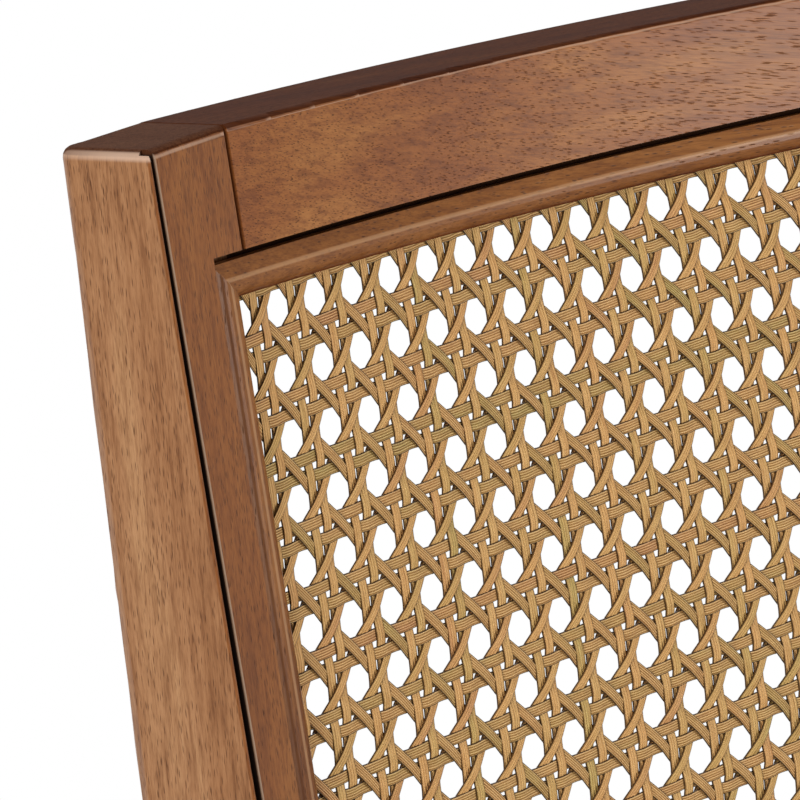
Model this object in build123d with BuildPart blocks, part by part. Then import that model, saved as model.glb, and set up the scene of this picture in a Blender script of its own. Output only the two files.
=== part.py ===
from build123d import *
import math
import os

os.makedirs("parts", exist_ok=True)

# A dining chair with a curved cane back, in stained hardwood.
# X runs across the chair, Y from the front to the back, Z up. The origin is on the floor,
# under the middle of the chair. All lengths are in millimetres and all angles in degrees.

# The chair as a whole
overall_height = 850
front_half_width = 225

# The back, measured along its own slope from the top edge of the cane opening
back_half_width = 225
back_rake = 8
back_radius = 700
post_splay = 6.2
opening_splay = 5.6
seat_back_gap = 98.8
stile_width = 25.7
top_rail_height = 33
lower_rail_height = 36
back_rail_depth = 25

# The rear legs
post_top_depth = 28.7
seat_zone_depth = 53.3
seat_zone_rise = 7.7
seat_depth = 435
knee_rise = 28
knee_radius = 400
side_knee_radius = 150
rear_foot_depth = 28
rear_foot_setback = 12
straight_below_rail = 27
hollow_rise = 8
post_corner_radius = 5.5
post_ridge_inset = 6.6
post_top_fall = 2
post_top_round = 2
leg_edge_radius = 2.5

# The quirk groove along the front outer edge of each rear post
groove_lip = 0.4
groove_top_width = 1.3
groove_middle_width = 2.3
groove_low_width = 2.6
groove_middle_drop = 110
groove_depth = 3

# The rabbet round the opening, the mitred beads in it and the cane under them
bead_width = 7.5
bead_thickness = 3.5
bead_drop = 0.3
bead_round = 2.8
bead_slope_width = 3.4
bead_slope_depth = 0.9
bead_side_gap = 0.2
bead_side_inset = 2.6
round_handle_share = 0.5523
bead_rail_gap = 1.6
cane_thickness = 1.2
cane_floor_gap = 0.2
cane_tuck = 6.5
cane_pitch = 19.05
cane_hole_share = 0.54
cane_edge_margin = 1.5

# The joints of the back rails
back_tenon_thickness = 8
back_tenon_length = 14
back_tenon_shoulder = 6
joint_chamfer = 0.7
joint_clearance = 0.15
mortise_end_room = 0.6
back_edge_radius = 1.4

# The seat frame
seat_frame_height = 425
seat_rail_height = 60
seat_rail_thickness = 20
side_rail_inset = 1.5
front_rail_inset = 2
rear_rail_inset = 24
seat_tenon_thickness = 8
seat_tenon_shoulder = 8
rear_leg_tenon_length = 20
rear_rail_tenon_length = 12
front_leg_tenon_length = 17
seat_rail_edge_radius = 1.5

# The front legs
front_leg_width = 36
front_foot_width = 24
front_leg_straight = 12

# The corner blocks and the screws
block_reach = 52
block_height = 40
block_leg_clearance = 1.5
screw_diameter = 4
screw_head_diameter = 8
screw_head_height = 2.6
screw_clearance = 0.1
rail_screw_length = 30
rail_screw_grip = 16
seat_screw_length = 36
seat_screw_bite = 9
seat_screw_share = 0.45
upper_screw_share = 0.3
lower_screw_share = 0.7

# The seat
board_thickness = 12
board_inset = 4
cushion_rise = 46
cushion_crown = 9
cushion_front_overhang = 3
cushion_side_overhang = 1
cushion_post_clearance = 2
cushion_clearance = 0.3
cushion_front_corner = 12
cushion_rear_corner = 11
cushion_notch_corner = 5
cushion_top_round = 10
cushion_bottom_round = 2

# The floor glides
glide_height = 4
glide_diameter = 18
glide_edge_chamfer = 1.2
glide_pin_diameter = 3
glide_pin_length = 14

# One overrun serves every cut that has to pass right through
overrun = 2

# A face or edge counts as upright, or as facing one way, within this angle
facing_angle = 30
steep = math.cos(math.radians(facing_angle))
facing_share = steep / 2

# Angles and slopes that follow from the sizes above
rake_sine = math.sin(math.radians(back_rake))
rake_cosine = math.cos(math.radians(back_rake))
post_slope = math.tan(math.radians(post_splay))
opening_slope = math.tan(math.radians(opening_splay))
opening_half_width = back_half_width - stile_width


def front_depth(half_width):
    """Depth of the back's hollow front face, nought in the middle and forward at the sides."""
    return math.sqrt(back_radius ** 2 - half_width ** 2) - back_radius


# The back hangs from the chair's full height. Its posts are straight down to the knees above the seat frame,
# and the cane opening ends where the gap over the seat begins.
post_half_width_on_top = back_half_width + post_slope * top_rail_height
post_front = front_depth(post_half_width_on_top)
back_z = overall_height - top_rail_height * rake_cosine + post_front * rake_sine
seat_zone_drop = (back_z - seat_frame_height - seat_zone_rise) / rake_cosine
knee_drop = seat_zone_drop - knee_rise
opening_height = (back_z - seat_frame_height - seat_back_gap) / rake_cosine - lower_rail_height


def post_outer(height):
    """Distance of the post's outer face from the middle, at a height up the back."""
    return back_half_width + post_slope * max(height, -knee_drop)


def post_inner(height):
    """Distance of the post's inner face, and so of the opening's edge, from the middle."""
    return opening_half_width + opening_slope * max(height, -knee_drop)


# Place of the back: its posts meet the seat frame one seat depth behind the seat's front edge, and the
# middle of the top rail is the rearmost point of the chair
rear_leg_outer = post_outer(-seat_zone_drop)
rear_leg_inner = post_inner(-seat_zone_drop)
back_lean = seat_zone_drop * rake_sine - front_depth(rear_leg_outer) * rake_cosine
rail_reach = (back_rail_depth - back_edge_radius) * rake_cosine
rail_reach += (top_rail_height - back_edge_radius) * rake_sine + back_edge_radius
overall_depth = seat_depth + back_lean + rail_reach
seat_zone_y = seat_depth - overall_depth / 2
back_y = seat_zone_y + back_lean


def raked(depth, height):
    """Chair Y and Z of a point given by its depth into the back and its height up the back."""
    y = back_y + depth * rake_cosine + height * rake_sine
    z = back_z + height * rake_cosine - depth * rake_sine
    return y, z


# The plan view of the back looks down its slope, and the front view looks at it from the seat
back_plan = Plane(origin=(0, back_y, back_z), x_dir=(1, 0, 0), z_dir=(0, rake_sine, rake_cosine))
back_front = Plane(origin=(0, back_y, back_z), x_dir=(1, 0, 0), z_dir=(0, -rake_cosine, rake_sine))

# Section through the middle of the back, and the axis that its curved pieces bend round
back_section = Plane(origin=(0, back_y, back_z), x_dir=(0, rake_cosine, -rake_sine), z_dir=(1, 0, 0))
back_axis = Axis(back_section.from_local_coords((-back_radius, 0, 0)), (0, rake_sine, rake_cosine))

back_reach = back_half_width + stile_width
rabbet_depth = bead_drop + bead_thickness + cane_thickness + cane_floor_gap
opening_foot = -opening_height
back_foot = -opening_height - lower_rail_height


def back_layer(near, far, low, high):
    """Curved layer of the back between two depths from its front face and two heights."""
    with BuildPart() as layer:
        with BuildSketch(back_plan.offset(low)):
            with Locations((0, -back_radius)):
                Circle(back_radius + far)
                Circle(back_radius + near, mode=Mode.SUBTRACT)
            Rectangle(2 * back_reach, back_radius, mode=Mode.INTERSECT)
        extrude(amount=high - low)
    return layer.part


def back_slab(corners):
    """Straight slab through the whole back with an outline drawn in the front view."""
    with BuildPart() as slab:
        with BuildSketch(back_front):
            with BuildLine():
                Polyline(*corners, close=True)
            make_face()
        extrude(amount=back_reach, both=True)
    return slab.part


def back_piece(corners, near, far):
    """Piece of the back with a front outline, between two depths from the front face."""
    heights = [corner[1] for corner in corners]
    with BuildPart() as piece:
        add(back_slab(corners))
        layer = back_layer(near, far, min(heights) - overrun, max(heights) + overrun)
        add(layer, mode=Mode.INTERSECT)
    return piece.part


def opening_corners(grow_side, grow_top, grow_bottom):
    """Corners of the tapered cane opening, grown outwards at the sides, top and bottom."""
    high = grow_top
    low = opening_foot - grow_bottom
    wide = post_inner(high) + grow_side
    narrow = post_inner(low) + grow_side
    return [(-wide, high), (wide, high), (narrow, low), (-narrow, low)]


def depth_from_front(shape):
    """Depth of a shape's middle behind the curved front face of the back."""
    place = back_plan.to_local_coords(shape.center())
    return math.hypot(place.X, place.Y + back_radius) - back_radius


def height_up_back(shape):
    """Height of a shape's middle up the slope of the back."""
    return back_plan.to_local_coords(shape.center()).Z


# The rails of the back are cut to the curve, with a rabbet for the beads and a tenon at each end
rail_tenon_near = rabbet_depth + (back_rail_depth - rabbet_depth - back_tenon_thickness) / 2
rail_tenon_far = rail_tenon_near + back_tenon_thickness
rabbet_rise = bead_width + bead_rail_gap


def rail_outline(low, high, grow_ends):
    """Front outline of a back rail between its shoulders, lengthened at both ends."""
    wide = post_inner(high) + grow_ends
    narrow = post_inner(low) + grow_ends
    return [(-wide, high), (wide, high), (narrow, low), (-narrow, low)]


def rail_tenon_heights(low, high, rabbet_side):
    """Lowest and highest point of a back rail's tenon, clear of its rabbet."""
    tenon_low = low + back_tenon_shoulder
    tenon_high = high - back_tenon_shoulder
    if rabbet_side > 0:
        tenon_high = high - rabbet_rise
    if rabbet_side < 0:
        tenon_low = low + rabbet_rise
    return tenon_low, tenon_high


def rail_tenons(low, high, rabbet_side, room, end_room):
    """The tenons of a back rail as one curved tongue, or the room cut for them in the posts."""
    tenon_low, tenon_high = rail_tenon_heights(low, high, rabbet_side)
    outline = rail_outline(tenon_low - room, tenon_high + room, back_tenon_length + end_room)
    return back_piece(outline, rail_tenon_near - room, rail_tenon_far + room)


def back_rail(low, high, rabbet_side):
    """A curved back rail with its rabbet on the side of the opening, above or below."""
    with BuildPart() as rail:
        add(back_piece(rail_outline(low, high, 0), 0, back_rail_depth))
        arcs = rail.edges().filter_by(GeomType.CIRCLE).sort_by(depth_from_front)
        back_arcs = arcs[2:]
        front_arcs = arcs[:2].sort_by(height_up_back)
        outer_front_arc = front_arcs[0] if rabbet_side > 0 else front_arcs[-1]
        fillet(back_arcs + [outer_front_arc], radius=back_edge_radius)
        ends = rail.faces().filter_by(GeomType.PLANE).sort_by(Axis.X)
        for end in (ends[0], ends[-1]):
            front_edge = end.edges().filter_by(GeomType.LINE).sort_by(depth_from_front)[0]
            chamfer(front_edge, length=joint_chamfer)
        if rabbet_side > 0:
            rabbet_low = high - rabbet_rise
            rabbet_high = high + overrun
        else:
            rabbet_low = low - overrun
            rabbet_high = low + rabbet_rise
        rabbet = rail_outline(rabbet_low, rabbet_high, overrun)
        add(back_piece(rabbet, -overrun, rabbet_depth), mode=Mode.SUBTRACT)
        add(rail_tenons(low, high, rabbet_side, 0, 0))
    return rail.part


top_rail_range = (0, top_rail_height, -1)
lower_rail_range = (back_foot, opening_foot, 1)

with BuildPart() as top_rail:
    add(back_rail(*top_rail_range))
top_rail.part.label = "top_rail"
export_step(top_rail.part, "parts/top_rail.step")

with BuildPart() as lower_back_rail:
    add(back_rail(*lower_rail_range))
lower_back_rail.part.label = "lower_back_rail"
export_step(lower_back_rail.part, "parts/lower_back_rail.step")

# The four beads are mitred round the opening. Each has a sloping outer part, a ridge and a quarter round
# that runs down to the cane.
inner_bead_corners = opening_corners(bead_side_inset, 0, 0)
outer_bead_corners = opening_corners(bead_side_inset + bead_width, bead_width, bead_width)
opening_middle = back_front.from_local_coords((0, opening_foot / 2, 0))


def distance_from_middle(shape):
    """Distance of a shape's middle from the middle of the opening."""
    return (shape.center() - opening_middle).length


def bead_outline(first, second):
    """Front outline of a mitred bead between two neighbouring corners of the opening."""
    return [
        inner_bead_corners[first],
        inner_bead_corners[second],
        outer_bead_corners[second],
        outer_bead_corners[first],
    ]


def curved_bead(first, second):
    """The top or bottom bead, bent to the curve of the back with its whole profile."""
    outline = bead_outline(first, second)
    inner = outline[0][1]
    outward = math.copysign(1, outline[-1][1] - inner)
    outer = inner + outward * bead_width
    far = bead_drop + bead_thickness
    round_side = (bead_drop + bead_round, inner)
    round_front = (bead_drop, inner + outward * bead_round)
    handle = round_handle_share * bead_round
    with BuildPart() as strip:
        with BuildSketch(back_section):
            with BuildLine():
                Polyline(
                    round_front,
                    (bead_drop, outer - outward * bead_slope_width),
                    (bead_drop + bead_slope_depth, outer),
                    (far, outer),
                    (far, inner),
                    round_side,
                )
                Bezier(
                    round_side,
                    (round_side[0] - handle, inner),
                    (bead_drop, round_front[1] - outward * handle),
                    round_front,
                )
            make_face()
        revolve(axis=back_axis)
        add(back_slab(outline), mode=Mode.INTERSECT)
    return strip.part


def straight_bead(first, second):
    """The left or right bead, which runs straight down a post."""
    with BuildPart() as strip:
        add(back_piece(bead_outline(first, second), bead_drop, bead_drop + bead_thickness))
        long_edges = strip.edges().sort_by(lambda edge: edge.length)[-4:]
        front_pair = long_edges.sort_by(depth_from_front)[:2]
        inner_edge = front_pair.sort_by(distance_from_middle)[0]
        fillet(inner_edge, radius=bead_round)
        front = strip.faces().filter_by(GeomType.CYLINDER).sort_by(depth_from_front)[0]
        outer_edge = front.edges().sort_by(lambda edge: edge.length)[-2:].sort_by(distance_from_middle)[-1]
        chamfer(outer_edge, length=bead_slope_width, length2=bead_slope_depth, reference=front)
    return strip.part


bead_places = {
    "bead_top": curved_bead(0, 1),
    "bead_right": straight_bead(1, 2),
    "bead_bottom": curved_bead(2, 3),
    "bead_left": straight_bead(3, 0),
}
for bead_name, bead_shape in bead_places.items():
    with BuildPart() as mitred_bead:
        add(bead_shape)
    mitred_bead.part.label = bead_name
    export_step(mitred_bead.part, f"parts/{bead_name}.step")

# The cane is woven in six directions, which leaves rows of octagonal holes. Here it is one curved sheet
# with such holes, tucked under the beads.
cane_near = bead_drop + bead_thickness
cane_hole_radius = cane_hole_share * cane_pitch / 2 / math.cos(math.pi / 8)
cane_rows = math.floor((opening_height - cane_edge_margin * 2) / cane_pitch)
cane_first_row = -(opening_height - (cane_rows - 1) * cane_pitch) / 2
cane_holes = []
for row in range(cane_rows):
    row_height = cane_first_row - row * cane_pitch
    row_room = post_inner(row_height - cane_pitch / 2) - cane_edge_margin - cane_hole_radius
    row_side = math.floor(row_room / cane_pitch)
    for column in range(-row_side, row_side + 1):
        cane_holes.append((column * cane_pitch, row_height))


def octagon(x, y):
    """Outline of one octagonal hole, flat at its top and sides."""
    turns = [math.pi / 8 + corner * math.pi / 4 for corner in range(8)]
    corners = [(x + cane_hole_radius * math.cos(turn), y + cane_hole_radius * math.sin(turn)) for turn in turns]
    return Wire.make_polygon(corners, close=True)


cane_corners = opening_corners(bead_side_inset + cane_tuck, cane_tuck, cane_tuck)
cane_outline = Wire.make_polygon(cane_corners, close=True)
cane_net = Face(cane_outline, [octagon(*place) for place in cane_holes])
with BuildPart() as cane_panel:
    with BuildSketch(back_front.offset(-back_reach)):
        add(cane_net)
    extrude(amount=2 * back_reach)
    cane_low = opening_foot - cane_tuck - overrun
    cane_high = cane_tuck + overrun
    cane_layer = back_layer(cane_near, cane_near + cane_thickness, cane_low, cane_high)
    add(cane_layer, mode=Mode.INTERSECT)
cane_panel.part.label = "cane_panel"
export_step(cane_panel.part, "parts/cane_panel.step")

# Plan of the seat frame, from the front leg to the rear leg on the left side
seat_rail_foot = seat_frame_height - seat_rail_height
front_leg_front = cushion_front_overhang - overall_depth / 2
front_leg_back = front_leg_front + front_leg_width
side_rail_rear = rear_leg_outer - side_rail_inset
side_rail_front = front_half_width - side_rail_inset
side_rail_slope = (side_rail_front - side_rail_rear) / (seat_zone_y - front_leg_back)
side_rail_width = seat_rail_thickness * math.hypot(1, side_rail_slope)
front_rail_y = front_leg_front + front_rail_inset
rear_rail_y = seat_zone_y + rear_rail_inset


def side_rail_outer(y):
    """Distance of a side rail's outer face from the middle, at a place along the chair."""
    return side_rail_rear + side_rail_slope * (seat_zone_y - y)


def side_strip(side, inset, width, front, rear, low, high):
    """Strip along the outer face of a side rail, set in from it, between two places and heights."""
    with BuildPart() as strip:
        with BuildSketch(Plane.XY.offset(low)):
            with BuildLine():
                Polyline(
                    (side * (side_rail_outer(front) - inset), front),
                    (side * (side_rail_outer(rear) - inset), rear),
                    (side * (side_rail_outer(rear) - inset - width), rear),
                    (side * (side_rail_outer(front) - inset - width), front),
                    close=True,
                )
            make_face()
        extrude(amount=high - low)
    return strip.part


def cross_strip(half_width, near, far, low, high):
    """Straight strip across the chair between two places and two heights."""
    with BuildPart() as strip:
        with BuildSketch(Plane.XY.offset(low)):
            with Locations((0, (near + far) / 2)):
                Rectangle(2 * half_width, far - near)
        extrude(amount=high - low)
    return strip.part


seat_tenon_low = seat_rail_foot + seat_tenon_shoulder
seat_tenon_high = seat_frame_height - seat_tenon_shoulder
seat_tenon_inset = (seat_rail_thickness - seat_tenon_thickness) / 2


def side_rail_tenons(side, room, end_room):
    """The two tenons of a side rail as one tongue, or the room cut for them in the legs."""
    stretch = math.hypot(1, side_rail_slope)
    return side_strip(
        side,
        (seat_tenon_inset - room) * stretch,
        (seat_tenon_thickness + 2 * room) * stretch,
        front_leg_back - front_leg_tenon_length - end_room,
        seat_zone_y + rear_leg_tenon_length + end_room,
        seat_tenon_low - room,
        seat_tenon_high + room,
    )


def cross_rail_tenons(half_width, rail_y, room, end_room):
    """The two tenons of the front or rear seat rail, or the room cut for them in the legs."""
    return cross_strip(
        half_width + end_room,
        rail_y + seat_tenon_inset - room,
        rail_y + seat_tenon_inset + seat_tenon_thickness + room,
        seat_tenon_low - room,
        seat_tenon_high + room,
    )


front_rail_half = front_half_width - front_leg_width
front_tenon_half = front_rail_half + front_leg_tenon_length
rear_tenon_half = rear_leg_inner + rear_rail_tenon_length

# Corner blocks are glued and screwed into the four corners of the seat frame
block_foot = seat_frame_height - block_height
front_corner_x = front_half_width - front_leg_width - block_leg_clearance
front_corner_y = front_rail_y + seat_rail_thickness
rear_corner_y = rear_rail_y


def side_rail_inner(y):
    """Distance of a side rail's inner face from the middle, at a place along the chair."""
    return side_rail_outer(y) - side_rail_width


def block_corners(end):
    """Plan of a left corner block at the front or rear end of the seat frame."""
    if end == "front":
        near_leg_y = front_leg_back + block_leg_clearance
        far_y = near_leg_y + block_reach - block_leg_clearance
        return [
            (-front_corner_x, front_corner_y),
            (-(front_corner_x - block_reach), front_corner_y),
            (-side_rail_inner(far_y), far_y),
            (-side_rail_inner(near_leg_y), near_leg_y),
            (-front_corner_x, near_leg_y),
        ]
    near_leg_y = seat_zone_y - block_leg_clearance
    far_y = near_leg_y - block_reach + block_leg_clearance
    inner_x = rear_leg_inner - block_leg_clearance
    return [
        (-inner_x, rear_corner_y),
        (-(inner_x - block_reach), rear_corner_y),
        (-side_rail_inner(far_y), far_y),
        (-side_rail_inner(near_leg_y), near_leg_y),
        (-inner_x, near_leg_y),
    ]


def screw(length, room):
    """Flat headed wood screw along Z with its head at the origin, or the room drilled for it."""
    with BuildPart() as wood_screw:
        with BuildSketch(Plane.XZ):
            with BuildLine():
                Polyline(
                    (0, 0),
                    (screw_head_diameter / 2 + room, 0),
                    (screw_diameter / 2 + room, -screw_head_height),
                    (screw_diameter / 2 + room, -length + screw_diameter / 2),
                    (0, -length - room),
                    close=True,
                )
            make_face()
        revolve(axis=Axis.Z)
    return wood_screw.part


def screw_room(length):
    """Room for a screw and for the driver that reaches its head through the wood."""
    with BuildPart() as drilled:
        add(screw(length, screw_clearance))
        with BuildSketch():
            Circle(screw_head_diameter / 2 + screw_clearance)
        extrude(amount=block_reach)
    return drilled.part


def diagonal_middle(end):
    """Middle of the sloping face of a left corner block, in plan."""
    corners = block_corners(end)
    return (corners[1][0] + corners[2][0]) / 2, (corners[1][1] + corners[2][1]) / 2


def rail_screw_planes(end):
    """Planes at the heads of a left block's two screws, one into each rail."""
    middle_x, middle_y = diagonal_middle(end)
    inward = 1 if end == "front" else -1
    cross_z = seat_frame_height - block_height * upper_screw_share
    side_z = seat_frame_height - block_height * lower_screw_share
    cross_head = (middle_x, block_corners(end)[0][1] + inward * rail_screw_grip, cross_z)
    side_head = (rail_screw_grip - side_rail_inner(middle_y), middle_y, side_z)
    return [
        Plane(origin=cross_head, x_dir=(1, 0, 0), z_dir=(0, inward, 0)),
        Plane(origin=side_head, x_dir=(0, 0, 1), z_dir=(1, -side_rail_slope, 0)),
    ]


def seat_screw_plane(end):
    """Plane at the head of the screw that goes up through a left block into the seat board."""
    corner_x, corner_y = block_corners(end)[0]
    middle_x, middle_y = diagonal_middle(end)
    head_x = corner_x + (middle_x - corner_x) * seat_screw_share
    head_y = corner_y + (middle_y - corner_y) * seat_screw_share
    head_z = seat_frame_height + seat_screw_bite - seat_screw_length
    return Plane(origin=(head_x, head_y, head_z), x_dir=(1, 0, 0), z_dir=(0, 0, -1))


def set_of_screws(planes, shape):
    """One screw, or one drilled hole, at each plane of the left side and its mirror image."""
    with BuildPart() as screws:
        for plane in planes:
            placed = plane.from_local_coords(shape)
            add(placed)
            add(placed.mirror(Plane.YZ))
    return screws.part


ends = ("front", "rear")
rail_screw_places = [plane for end in ends for plane in rail_screw_planes(end)]
seat_screw_places = [seat_screw_plane(end) for end in ends]
rail_screw_rooms = set_of_screws(rail_screw_places, screw_room(rail_screw_length))
seat_screw_rooms = set_of_screws(seat_screw_places, screw_room(seat_screw_length))

with BuildPart() as rail_screws:
    add(set_of_screws(rail_screw_places, screw(rail_screw_length, 0)))
rail_screws.part.label = "rail_screws"
export_step(rail_screws.part, "parts/rail_screws.step")

with BuildPart() as seat_screws:
    add(set_of_screws(seat_screw_places, screw(seat_screw_length, 0)))
seat_screws.part.label = "seat_screws"
export_step(seat_screws.part, "parts/seat_screws.step")


def write_pair(name, left_part):
    """Write a left piece, and its mirror image as the right one."""
    for side, shape in (("left", left_part), ("right", left_part.mirror(Plane.YZ))):
        with BuildPart() as piece:
            add(shape)
        piece.part.label = f"{name}_{side}"
        export_step(piece.part, f"parts/{name}_{side}.step")


for end in ends:
    with BuildPart() as corner_block:
        with BuildSketch(Plane.XY.offset(block_foot)):
            with BuildLine():
                Polyline(*block_corners(end), close=True)
            make_face()
        extrude(amount=block_height)
        add(rail_screw_rooms, mode=Mode.SUBTRACT)
        add(seat_screw_rooms, mode=Mode.SUBTRACT)
    write_pair(f"corner_block_{end}", corner_block.part)

# The seat rails
with BuildPart() as side_seat_rail:
    add(side_strip(-1, 0, side_rail_width, front_leg_back, seat_zone_y, seat_rail_foot, seat_frame_height))
    long_edges = side_seat_rail.edges().sort_by(lambda edge: edge.length)[-4:]
    fillet(long_edges.sort_by(Axis.Z)[:2], radius=seat_rail_edge_radius)
    add(side_rail_tenons(-1, 0, 0))
    add(rail_screw_rooms, mode=Mode.SUBTRACT)
write_pair("side_seat_rail", side_seat_rail.part)


def cross_rail(half_width, tenon_half, rail_y):
    """The front or rear seat rail with its two tenons."""
    with BuildPart() as rail:
        add(cross_strip(half_width, rail_y, rail_y + seat_rail_thickness, seat_rail_foot, seat_frame_height))
        long_edges = rail.edges().filter_by(Axis.X)
        fillet(long_edges.sort_by(Axis.Z)[:2], radius=seat_rail_edge_radius)
        add(cross_rail_tenons(tenon_half, rail_y, 0, 0))
        add(rail_screw_rooms, mode=Mode.SUBTRACT)
    return rail.part


with BuildPart() as front_seat_rail:
    add(cross_rail(front_rail_half, front_tenon_half, front_rail_y))
front_seat_rail.part.label = "front_seat_rail"
export_step(front_seat_rail.part, "parts/front_seat_rail.step")

with BuildPart() as rear_seat_rail:
    add(cross_rail(rear_leg_inner, rear_tenon_half, rear_rail_y))
rear_seat_rail.part.label = "rear_seat_rail"
export_step(rear_seat_rail.part, "parts/rear_seat_rail.step")

# The floor glides are nailed into the feet
front_glide_x = front_half_width - front_foot_width / 2
front_glide_y = front_leg_front + front_foot_width / 2
rear_glide_x = (rear_leg_outer + rear_leg_inner) / 2
rear_foot_back = overall_depth / 2 - rear_foot_setback
rear_glide_y = rear_foot_back - rear_foot_depth / 2


def glide(x, y, room):
    """Round floor glide with its pin, or the room for the pin in the foot."""
    with BuildPart() as round_glide:
        with BuildSketch(Plane((x, y, 0))):
            Circle(glide_diameter / 2)
        extrude(amount=glide_height)
        chamfer(round_glide.edges().sort_by(Axis.Z)[0], length=glide_edge_chamfer)
        with BuildSketch(Plane((x, y, glide_height))):
            Circle(glide_pin_diameter / 2 + room)
        extrude(amount=glide_pin_length + room)
    return round_glide.part


write_pair("glide_front", glide(-front_glide_x, front_glide_y, 0))
write_pair("glide_rear", glide(-rear_glide_x, rear_glide_y, 0))

# The front legs are square at the seat and taper on their inner faces to the floor
taper_top = seat_rail_foot - front_leg_straight


def taper_view(plane, start):
    """Side view of a front leg, upright on one side and tapered on the other, drawn from one edge."""
    inner_knee = (start + front_leg_width, taper_top)
    with BuildSketch(plane) as view:
        with BuildLine():
            Polyline(
                (start, glide_height),
                (start + front_foot_width, glide_height),
                inner_knee,
                (start + front_leg_width, seat_frame_height),
                (start, seat_frame_height),
                close=True,
            )
        make_face()
        fillet(view.vertices().sort_by_distance(inner_knee)[0], radius=side_knee_radius)
    return view.sketch


with BuildPart() as front_leg:
    extrude(taper_view(Plane.XZ, -front_half_width), amount=overall_depth)
    extrude(taper_view(Plane.YZ, front_leg_front), amount=-overall_depth, mode=Mode.INTERSECT)
    level_edges = front_leg.edges().filter_by(Plane.XY)
    upright = ShapeList(edge for edge in front_leg.edges() if edge not in level_edges)
    fillet(upright, radius=leg_edge_radius)
    add(side_rail_tenons(-1, joint_clearance, mortise_end_room), mode=Mode.SUBTRACT)
    front_mortise = cross_rail_tenons(front_tenon_half, front_rail_y, joint_clearance, mortise_end_room)
    add(front_mortise, mode=Mode.SUBTRACT)
    add(glide(-front_glide_x, front_glide_y, joint_clearance), mode=Mode.SUBTRACT)
write_pair("front_leg", front_leg.part)

# A rear leg is one plank from floor to top. Its side view gives the rake and the swept foot, and its front
# view the outward splay above the seat and a top that falls a little outwards. Just above the seat frame its
# front is cut to the curve of the back.
leg_top = top_rail_height + overrun
leg_foot = -back_z / rake_cosine - overall_depth * rake_sine
groove_foot = 2 * hollow_rise - seat_zone_drop
post_width_on_top = post_half_width_on_top - post_inner(top_rail_height)
outer_top = top_rail_height - post_width_on_top * math.tan(math.radians(post_top_fall))
zone_low = (seat_zone_y, seat_rail_foot - straight_below_rail)
zone_back_high = (seat_zone_y + seat_zone_depth, seat_frame_height)
zone_back_low = (seat_zone_y + seat_zone_depth, seat_rail_foot)
plank_front = (seat_zone_y - back_y - leg_top * rake_sine) / rake_cosine
plank_top_front = raked(plank_front, leg_top)
post_back = post_front + post_top_depth
post_top_back = raked(post_back, top_rail_height)
past_top = overrun / (post_top_back[1] - seat_frame_height)
plank_top_back = (
    post_top_back[0] + (post_top_back[0] - zone_back_high[0]) * past_top,
    post_top_back[1] + overrun,
)

# Behind, the post thickens towards its inner face, which brings its top flush with the back of the top rail.
# This wedge runs out inside the plank above the seat.
wedge_ridge = post_half_width_on_top - post_ridge_inset
rail_back_radius = back_radius + back_rail_depth
rail_back = math.sqrt(rail_back_radius ** 2 - post_inner(top_rail_height) ** 2) - back_radius
wedge_slope = (rail_back - post_back) / (wedge_ridge - post_inner(top_rail_height))
wedge_foot = -knee_drop
wedge_foot_back = (seat_zone_y + seat_zone_depth - back_y - wedge_foot * rake_sine) / rake_cosine


def wedge_view(height, outer_back, inner_back):
    """Plan of the wedge at a height up the back, over more than the post's width."""
    with BuildSketch(back_plan.offset(height)) as view:
        with BuildLine():
            Polyline(
                (-back_reach, outer_back - 2 * back_rail_depth),
                (-back_reach, outer_back),
                (0, inner_back),
                (0, outer_back - 2 * back_rail_depth),
                close=True,
            )
        make_face()
    return view.sketch


with BuildPart() as post_wedge:
    wedge_rise = (leg_top - wedge_foot) / (top_rail_height - wedge_foot)
    outer_back = post_back - (back_reach - wedge_ridge) * wedge_slope
    inner_back = post_back + wedge_ridge * wedge_slope
    raised = [wedge_foot_back + (back - wedge_foot_back) * wedge_rise for back in (outer_back, inner_back)]
    loft([wedge_view(wedge_foot, wedge_foot_back, wedge_foot_back), wedge_view(leg_top, *raised)], ruled=True)


def shared_edges(first_faces, second_faces):
    """Edges in which two lists of faces meet."""
    second_edges = second_faces.edges()
    return ShapeList(edge for edge in first_faces.edges() if edge in second_edges)


with BuildPart() as rear_plank:
    with BuildSketch(Plane.YZ) as side_view:
        with BuildLine():
            Polyline(
                (rear_foot_back - rear_foot_depth, glide_height),
                zone_low,
                plank_top_front,
                plank_top_back,
                zone_back_high,
                zone_back_low,
                (rear_foot_back, glide_height),
                close=True,
            )
        make_face()
        for knee in (zone_low, zone_back_high, zone_back_low):
            fillet(side_view.vertices().sort_by_distance(knee)[0], radius=side_knee_radius)
    extrude(amount=-back_reach)
    add(post_wedge.part)
    with BuildSketch(back_front) as front_view:
        outer_knee = (-rear_leg_outer, -knee_drop)
        inner_knee = (-rear_leg_inner, -knee_drop)
        with BuildLine():
            Polyline(
                (-rear_leg_outer, leg_foot),
                outer_knee,
                (-post_outer(outer_top), outer_top),
                (-post_inner(top_rail_height), top_rail_height),
                inner_knee,
                (-rear_leg_inner, leg_foot),
                close=True,
            )
        make_face()
        for knee in (outer_knee, inner_knee):
            fillet(front_view.vertices().sort_by_distance(knee)[0], radius=knee_radius)
    extrude(amount=overall_depth, both=True, mode=Mode.INTERSECT)
    outer_faces = rear_plank.faces().filter_by(lambda face: face.normal_at().X < -steep)
    back_faces = rear_plank.faces().filter_by(lambda face: face.normal_at().Y > steep)
    fillet(shared_edges(outer_faces, back_faces), radius=post_corner_radius)

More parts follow.
